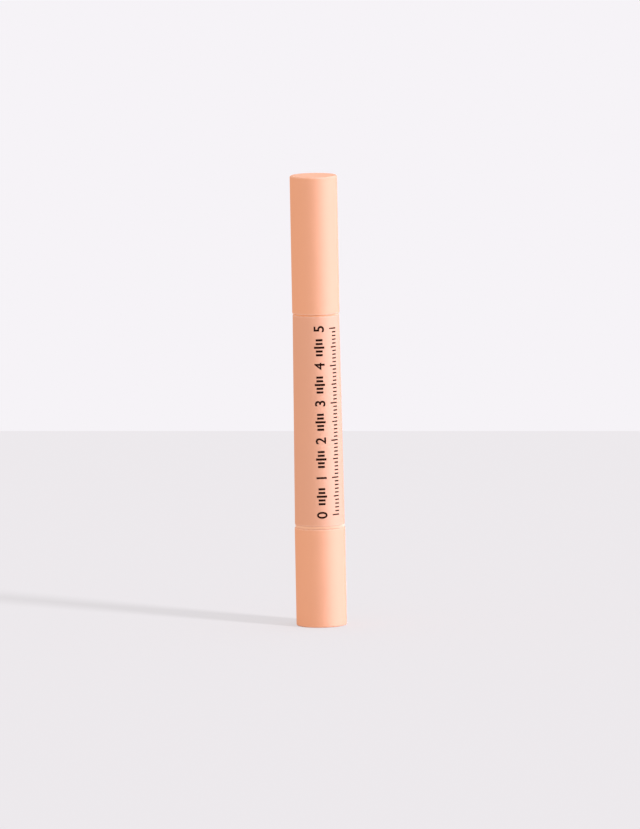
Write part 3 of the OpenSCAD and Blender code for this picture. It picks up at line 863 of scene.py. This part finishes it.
def soft_skin(name, colour, edges, shift):
    """Soft-touch lacquer of one colour, paler near the heights of its edges.

    Near them it is painted paler by an even share, a painted highlight that covers the flat
    ends. Towards the rim worn flecks swing it by fleck_rub, half of it to each side."""
    material, wire = start(name)
    spot = place(wire, shift)
    cloud = noise(spot, 9.0 * mm, detail=3.0)
    fleck = noise(spot, 0.9 * mm, detail=4.0, roughness=0.6)
    grain = noise(spot, 0.11 * mm, detail=2.0)
    peel = noise(spot, 0.55 * mm, detail=1.0)
    handled = ramp(noise(spot, 5.0 * mm, detail=5.0, roughness=0.62), 0.52, 0.68)
    edge = near_heights(wire, edges, highlight_and_wear_reach)
    rim = near_rim(wire, flat_end_radius, flecked_radius)
    swing = ramp(fleck, 0.35, 0.62) * fleck_rub - fleck_rub / 2
    # painted highlight: an even paler share near the edge heights, with worn flecks swinging it at the
    # rim
    wear_and_highlight_mask = edge * (even_painted_highlight + rim * swing)
    base = tint(wire, cloud * 0.5 + fleck * 0.25 - 0.1, colour, shade(colour, 0.94))
    # mixes in the paler colour for the painted highlight and the worn flecks
    base = tint(wire, wear_and_highlight_mask * 0.45, base, apricot_highlight_and_wear)
    shader = wire.node(
        "ShaderNodeBsdfPrincipled",
        inputs={
            "Base Color": base,
            "Roughness": 0.8 + fleck * 0.08 - handled * 0.07 - wear_and_highlight_mask * 0.12,
            "Normal": relief(wire, grain * 0.6 + peel * 0.4, 0.006 * mm, 0.5),
            "IOR": 1.48,
            "Specular IOR Level": 0.0,
            "Coat Weight": 0.16,
            "Coat Roughness": 0.6,
            "Coat IOR": 4.0,
        },
    )
    return surface(material, shader)


skin_cap = soft_skin("soft_skin_cap", apricot, [cap_bottom, cap_top], shift=0.013)
skin_barrel = soft_skin("soft_skin_barrel", apricot_dusky, [barrel_bottom, barrel_top], shift=0.037)
skin_knob = soft_skin("soft_skin_knob", apricot, [knob_bottom, knob_top], shift=0.071)

# %% [markdown]
# ## Mouldings
#
# Nearly everything inside is moulded. Plain polypropylene and acetal are milky: light enters
# a little way and softens every edge, which is what subsurface scattering is for. A mould
# leaves a fine satin grain, faint flow marks along the piece, and a parting line where its
# halves met. Four materials could be mixed one by one, but they share one recipe and differ
# only in colour, gloss and how much of the light goes in. The nozzle is the skin's colour,
# and its flange in the seam is painted warmer, a painted bounce light: light that falls into
# a narrow gap between apricot walls comes out more orange than it went in.

# %% Mix the mouldings
parting_half = 0.05 * mm
band_reach = 0.6 * mm
milky_radius = (1.0, 0.85, 0.7)
milky_depth = 0.6 * mm


def moulding(name, colour, roughness, milky, shift, band=None):
    """Moulded plastic: satin grain, flow marks along the axis and a thin parting line.

    A band is a height and the colour that the piece turns to near it."""
    material, wire = start(name)
    spot = place(wire, shift)
    stretched = stretch(spot, (1, 1, 0.12))
    flow = noise(stretched, 1.4 * mm, detail=3.0)
    grain = noise(spot, 0.16 * mm, detail=2.0)
    speck = ramp(noise(spot, 0.5 * mm, detail=6.0, roughness=0.7), 0.66, 0.74)
    axes = wire.node("ShaderNodeTexCoord", output="Object")
    aside = axes.node("ShaderNodeSeparateXYZ", inputs={"Vector": axes}, output="X")
    parting = ramp(aside.math("ABSOLUTE"), parting_half, 0.0)
    base = tint(wire, flow * 0.6 - 0.1, colour, shade(colour, 0.9))
    base = tint(wire, speck * 0.25 + parting * 0.2, base, shade(colour, 0.72))
    if band:
        band_height, band_colour = band
        # the band paints a colour near a height; the seam's painted bounce light uses it
        base = tint(wire, near_heights(wire, [band_height], band_reach), base, band_colour)
    shader = wire.node(
        "ShaderNodeBsdfPrincipled",
        inputs={
            "Base Color": base,
            "Roughness": roughness + grain * 0.1 - flow * 0.06,
            "Normal": relief(wire, grain * 0.5 + flow + parting, 0.01 * mm, 0.4),
            "IOR": 1.49,
            "Subsurface Weight": milky,
            "Subsurface Radius": milky_radius,
            "Subsurface Scale": milky_depth,
        },
    )
    return surface(material, shader)


milk_white = linear(240, 238, 230)
cool_white = linear(247, 247, 244)
peach = linear(236, 162, 123)
pale_apricot = linear(249, 185, 146)
# painted bounce light: the flange in the seam is painted a warmer orange
seam_painted_bounce = ((barrel_top + cap_bottom) / 2, linear(255, 178, 124))

natural = moulding("natural_moulding", milk_white, roughness=0.34, milky=0.45, shift=0.101)
acetal = moulding("acetal", cool_white, roughness=0.26, milky=0.25, shift=0.143)
peach_moulding = moulding(
    "skin_moulding", peach, roughness=0.5, milky=0.1, shift=0.167, band=seam_painted_bounce
)
ring_moulding = moulding("joint_ring", pale_apricot, roughness=0.6, milky=0.1, shift=0.181)

# %% [markdown]
# ## Clear tubes, soft rings, bristles and ink
#
# The reservoir and the feed tube are clear. Alpha would be the simpler way to see through
# them, but it doesn't bend light, so they transmit it, and only fine draw marks break it. The
# soft rings are black rubber with a bloom of talc. Nylon bristles are pale amber at the root,
# where glue wets them, and paler towards the tip. The ink is matt and nearly black: any
# shine would turn it grey.

# %% Mix the clear plastic
def clear_plastic():
    """Clear moulding: transmission, with fine draw marks along the tube in bump and roughness."""
    material, wire = start("clear_moulding")
    spot = place(wire, shift=0.057)
    stretched = stretch(spot, (1, 1, 0.04))
    draw = noise(stretched, 0.3 * mm, detail=4.0)
    cloud = noise(spot, 3.0 * mm, detail=2.0)
    base = tint(wire, cloud, linear(246, 247, 242), linear(236, 239, 232))
    shader = wire.node(
        "ShaderNodeBsdfPrincipled",
        inputs={
            "Base Color": base,
            "Roughness": 0.06 + draw * 0.1,
            "Normal": relief(wire, draw, 0.008 * mm, 0.35),
            "IOR": 1.49,
            "Transmission Weight": 0.9,
        },
    )
    return surface(material, shader)


# %% Mix the rubber
def rubber():
    """Black rubber: matt, with a mottled bloom that is paler and rougher."""
    material, wire = start("seal_rubber")
    spot = place(wire, shift=0.211)
    bloom = ramp(noise(spot, 0.7 * mm, detail=5.0, roughness=0.65), 0.45, 0.75)
    grain = noise(spot, 0.07 * mm, detail=2.0)
    base = tint(wire, bloom * 0.6 + grain * 0.15, linear(38, 36, 36), linear(74, 71, 70))
    shader = wire.node(
        "ShaderNodeBsdfPrincipled",
        inputs={
            "Base Color": base,
            "Roughness": 0.42 + bloom * 0.25,
            "Normal": relief(wire, grain, 0.008 * mm, 0.5),
            "IOR": 1.52,
        },
    )
    return surface(material, shader)


# %% Mix the nylon
wet_depth = 1 * mm
strand_depth = 0.15 * mm


def nylon(name, root, tip):
    """Bristle nylon: amber where glue wets the root, paler to the tip, each strand a shade apart."""
    material, wire = start(name)
    spot = place(wire, shift=0.019)
    up = ramp(height_of(place(wire)), ferrule_mouth - wet_depth, tuft_tip)
    stretched = stretch(spot, (1, 1, 0.03))
    strand = noise(stretched, 0.09 * mm, detail=1.0)
    base = tint(wire, up, root, tip)
    base = tint(wire, ramp(strand, 0.35, 0.7) * 0.35, base, linear(236, 220, 192))
    shader = wire.node(
        "ShaderNodeBsdfPrincipled",
        inputs={
            "Base Color": base,
            "Roughness": 0.3 + strand * 0.15,
            "Normal": relief(wire, strand, 0.004 * mm, 0.3),
            "IOR": 1.53,
            "Subsurface Weight": 0.5,
            "Subsurface Radius": milky_radius,
            "Subsurface Scale": strand_depth,
        },
    )
    return surface(material, shader)


# %% Mix the ink
def ink():
    """Screen-printed ink: nearly black brown, a little worn through at fine specks."""
    material, wire = start("scale_ink")
    spot = place(wire, shift=0.233)
    worn = ramp(noise(spot, 0.35 * mm, detail=6.0, roughness=0.7), 0.6, 0.72)
    grain = noise(spot, 0.08 * mm, detail=2.0)
    base = tint(wire, worn * 0.25 + grain * 0.08, linear(30, 8, 4), linear(118, 66, 44))
    shader = wire.node(
        "ShaderNodeBsdfPrincipled",
        inputs={
            "Base Color": base,
            "Roughness": 0.6 + worn * 0.2,
            "Normal": relief(wire, grain, 0.004 * mm, 0.4),
            "IOR": 1.45,
            "Specular IOR Level": 0.1,
        },
    )
    return surface(material, shader)


# %% [markdown]
# ## Dress the pieces
#
# Every piece, new or from the frame, gets one finish. Each could be dressed where it is made,
# but one table of finishes and pieces shows at a glance which pieces share one and that none
# is left bare. A CAD node keeps its mesh as it is: only the material in its slot changes.

# %% Give each piece its finish
def nodes(*names):
    """The CAD nodes of those names."""
    return [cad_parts[name] for name in names]


finishes = {
    skin_cap: [cap_skin],
    skin_barrel: [barrel_skin],
    skin_knob: [knob_skin],
    ring_moulding: nodes("tail_bush"),
    peach_moulding: [nozzle_moulding],
    natural: [ferrule_moulding, *nodes("cap_liner", "knob_core", "ratchet_ring")],
    acetal: nodes("drive_sleeve", "pawl_ring", "drive_nut", "lead_screw", "piston"),
    clear_plastic(): nodes("reservoir_tube", "feed_tube"),
    rubber(): nodes("drive_o_ring", "nozzle_o_ring", "cap_o_ring", "piston_seal"),
    nylon("bristle_nylon", linear(242, 226, 198), linear(253, 248, 237)): [bristles],
    nylon("root_glue", linear(205, 176, 132), linear(226, 205, 170)): [glue],
    ink(): [scale_print],
}
for finish, dressed in finishes.items():
    for piece in dressed:
        piece.data.materials.clear()
        piece.data.materials.append(finish)
    print(finish.name, "on", ", ".join(piece.name for piece in dressed))

# %% [markdown]
# ## Table, wall and light
#
# The table is a pale sheet that ends in a straight line behind the pen, and everything past
# it is a slightly paler wall. The sheet's far edge lies where the camera's rays through one
# row of the picture meet the table, so it is level in the picture. The wall is only the
# world's colour: it can't stand in the way of a view from behind.
#
# An even world gives every colour about its own tone. One lamp could do the rest, but it
# would have to fit the shading, the shine and the shadow at once. So, from the right, a weak
# lamp models the pen, and a softbox gives the apricot pieces, and only them, their wide pale
# shine: the lamp gives no shine and the softbox nothing else. The softbox is so wide that it
# reaches below the table's level. The table would cut it off, and the shine would fade
# towards the foot, so the table neither casts a shadow nor shows in a reflection.
#
# The shadow on the table runs further back than the pen's own light would throw it, so the
# table has a lamp of its own. Seen straight or through something clear, the table shows
# mostly its own colour and only for the rest the light on it, which keeps the shadow as faint
# as in a well-lit studio. The Standard view shows each tone as it is worked out: a filmic one
# would grey the whites and dull the apricot.

# %% Find the table's far edge
table_edge_row = 431
table_reach = 2.5


def on_table(x, y):
    """Where the ray through a pixel of the picture meets the table, z = 0."""
    eye = camera.matrix_world.translation
    ray = forward * camera_distance
    ray = ray + right * (x - picture_width / 2) * pixel
    ray = ray - up * (y - picture_height / 2) * pixel
    return eye - ray * (eye.z / ray.z)


edge_left = on_table(0, table_edge_row)
edge_right = on_table(picture_width, table_edge_row)
along = (edge_right - edge_left).normalized()
towards = Vector((along.y, -along.x, 0))
middle = (edge_left + edge_right) / 2
print("the table ends", round(middle.y / mm), "mm behind the pen")

# %% Lay the table
corners = [
    middle - along * table_reach,
    middle - along * table_reach + towards * table_reach,
    middle + along * table_reach + towards * table_reach,
    middle + along * table_reach,
]
table = add_piece("table", np.array([tuple(c) for c in corners]), [[0, 1, 2, 3]])

table_tone = linear(237, 234, 237)
table_albedo = linear(205, 202, 205)
shadow_share = 0.42


def direct_rays(wire):
    """1 for a ray from the camera, and for one that a glossy or clear surface passes on, else 0."""
    camera_ray = wire.node("ShaderNodeLightPath", output="Is Camera Ray")
    glossy_ray = wire.node("ShaderNodeLightPath", output="Is Glossy Ray")
    clear_ray = wire.node("ShaderNodeLightPath", output="Is Transmission Ray")
    return camera_ray.math("MAXIMUM", glossy_ray).math("MAXIMUM", clear_ray)


table_finish, wire = start("table")
seen = direct_rays(wire)
matt = wire.node("ShaderNodeBsdfDiffuse", inputs={"Color": table_albedo})
glow = wire.node("ShaderNodeEmission", inputs={"Color": table_tone, "Strength": 1.0})
surface(
    table_finish,
    wire.node("ShaderNodeMixShader", inputs={"Fac": seen * (1 - shadow_share), 1: matt, 2: glow}),
)
table.data.materials.append(table_finish)

# %% Light the studio
wall_tone = linear(246, 243, 247)
fill_tone = linear(255, 253, 252)
fill_strength = 0.96

world = bpy.data.worlds.new("studio")
bpy.context.scene.world = world
world.use_nodes = True
world.node_tree.nodes.clear()
wire = Wire(world.node_tree)
fill = wire.node("ShaderNodeBackground", inputs={"Color": fill_tone, "Strength": fill_strength})
wall = wire.node("ShaderNodeBackground", inputs={"Color": wall_tone, "Strength": 1.0})
sky = wire.node("ShaderNodeMixShader", inputs={"Fac": direct_rays(wire), 1: fill, 2: wall})
sky.node("ShaderNodeOutputWorld", inputs={"Surface": sky})

lamp_tone = linear(252, 253, 255)
softbox_tone = linear(240, 237, 255)


def sun(name, tone, energy, azimuth, elevation, angle):
    """A broad far lamp, azimuth degrees to the right of the camera's side. Its angle is its width."""
    data = bpy.data.lights.new(name, "SUN")
    data.energy = energy
    data.angle = math.radians(angle)
    data.color = tone[:3]
    lamp = bpy.data.objects.new(name, data)
    bpy.context.scene.collection.objects.link(lamp)
    across = math.cos(math.radians(elevation))
    height = math.sin(math.radians(elevation))
    turn = math.radians(azimuth)
    towards_lamp = Vector((math.sin(turn) * across, -math.cos(turn) * across, height))
    lamp.rotation_mode = "QUATERNION"
    lamp.rotation_quaternion = towards_lamp.to_track_quat("Z", "Y")
    return lamp


def link(lamp, pieces, state):
    """Lets a lamp light only these pieces, with INCLUDE, or all but them, with EXCLUDE."""
    linked = bpy.data.collections.new(lamp.name + "_linked")
    for piece in pieces:
        linked.objects.link(piece)
    for member in linked.collection_objects:
        member.light_linking.link_state = state
    lamp.light_linking.receiver_collection = linked


key = sun("key", lamp_tone, energy=0.4, azimuth=75, elevation=20, angle=6)
key.visible_glossy = False
link(key, [table], "EXCLUDE")

softbox = sun("softbox", softbox_tone, energy=17.5, azimuth=88, elevation=20, angle=126)
softbox.visible_diffuse = False
link(softbox, [cap_skin, barrel_skin, knob_skin, nozzle_moulding, *nodes("tail_bush")], "INCLUDE")
table.visible_shadow = False
table.visible_glossy = False

shadow_lamp = sun("shadow_lamp", lamp_tone, energy=3, azimuth=51, elevation=27, angle=8)
link(shadow_lamp, [table], "INCLUDE")

bpy.context.scene.view_settings.view_transform = "Standard"
print("lamps:", ", ".join(lamp.name for lamp in (key, softbox, shadow_lamp)))
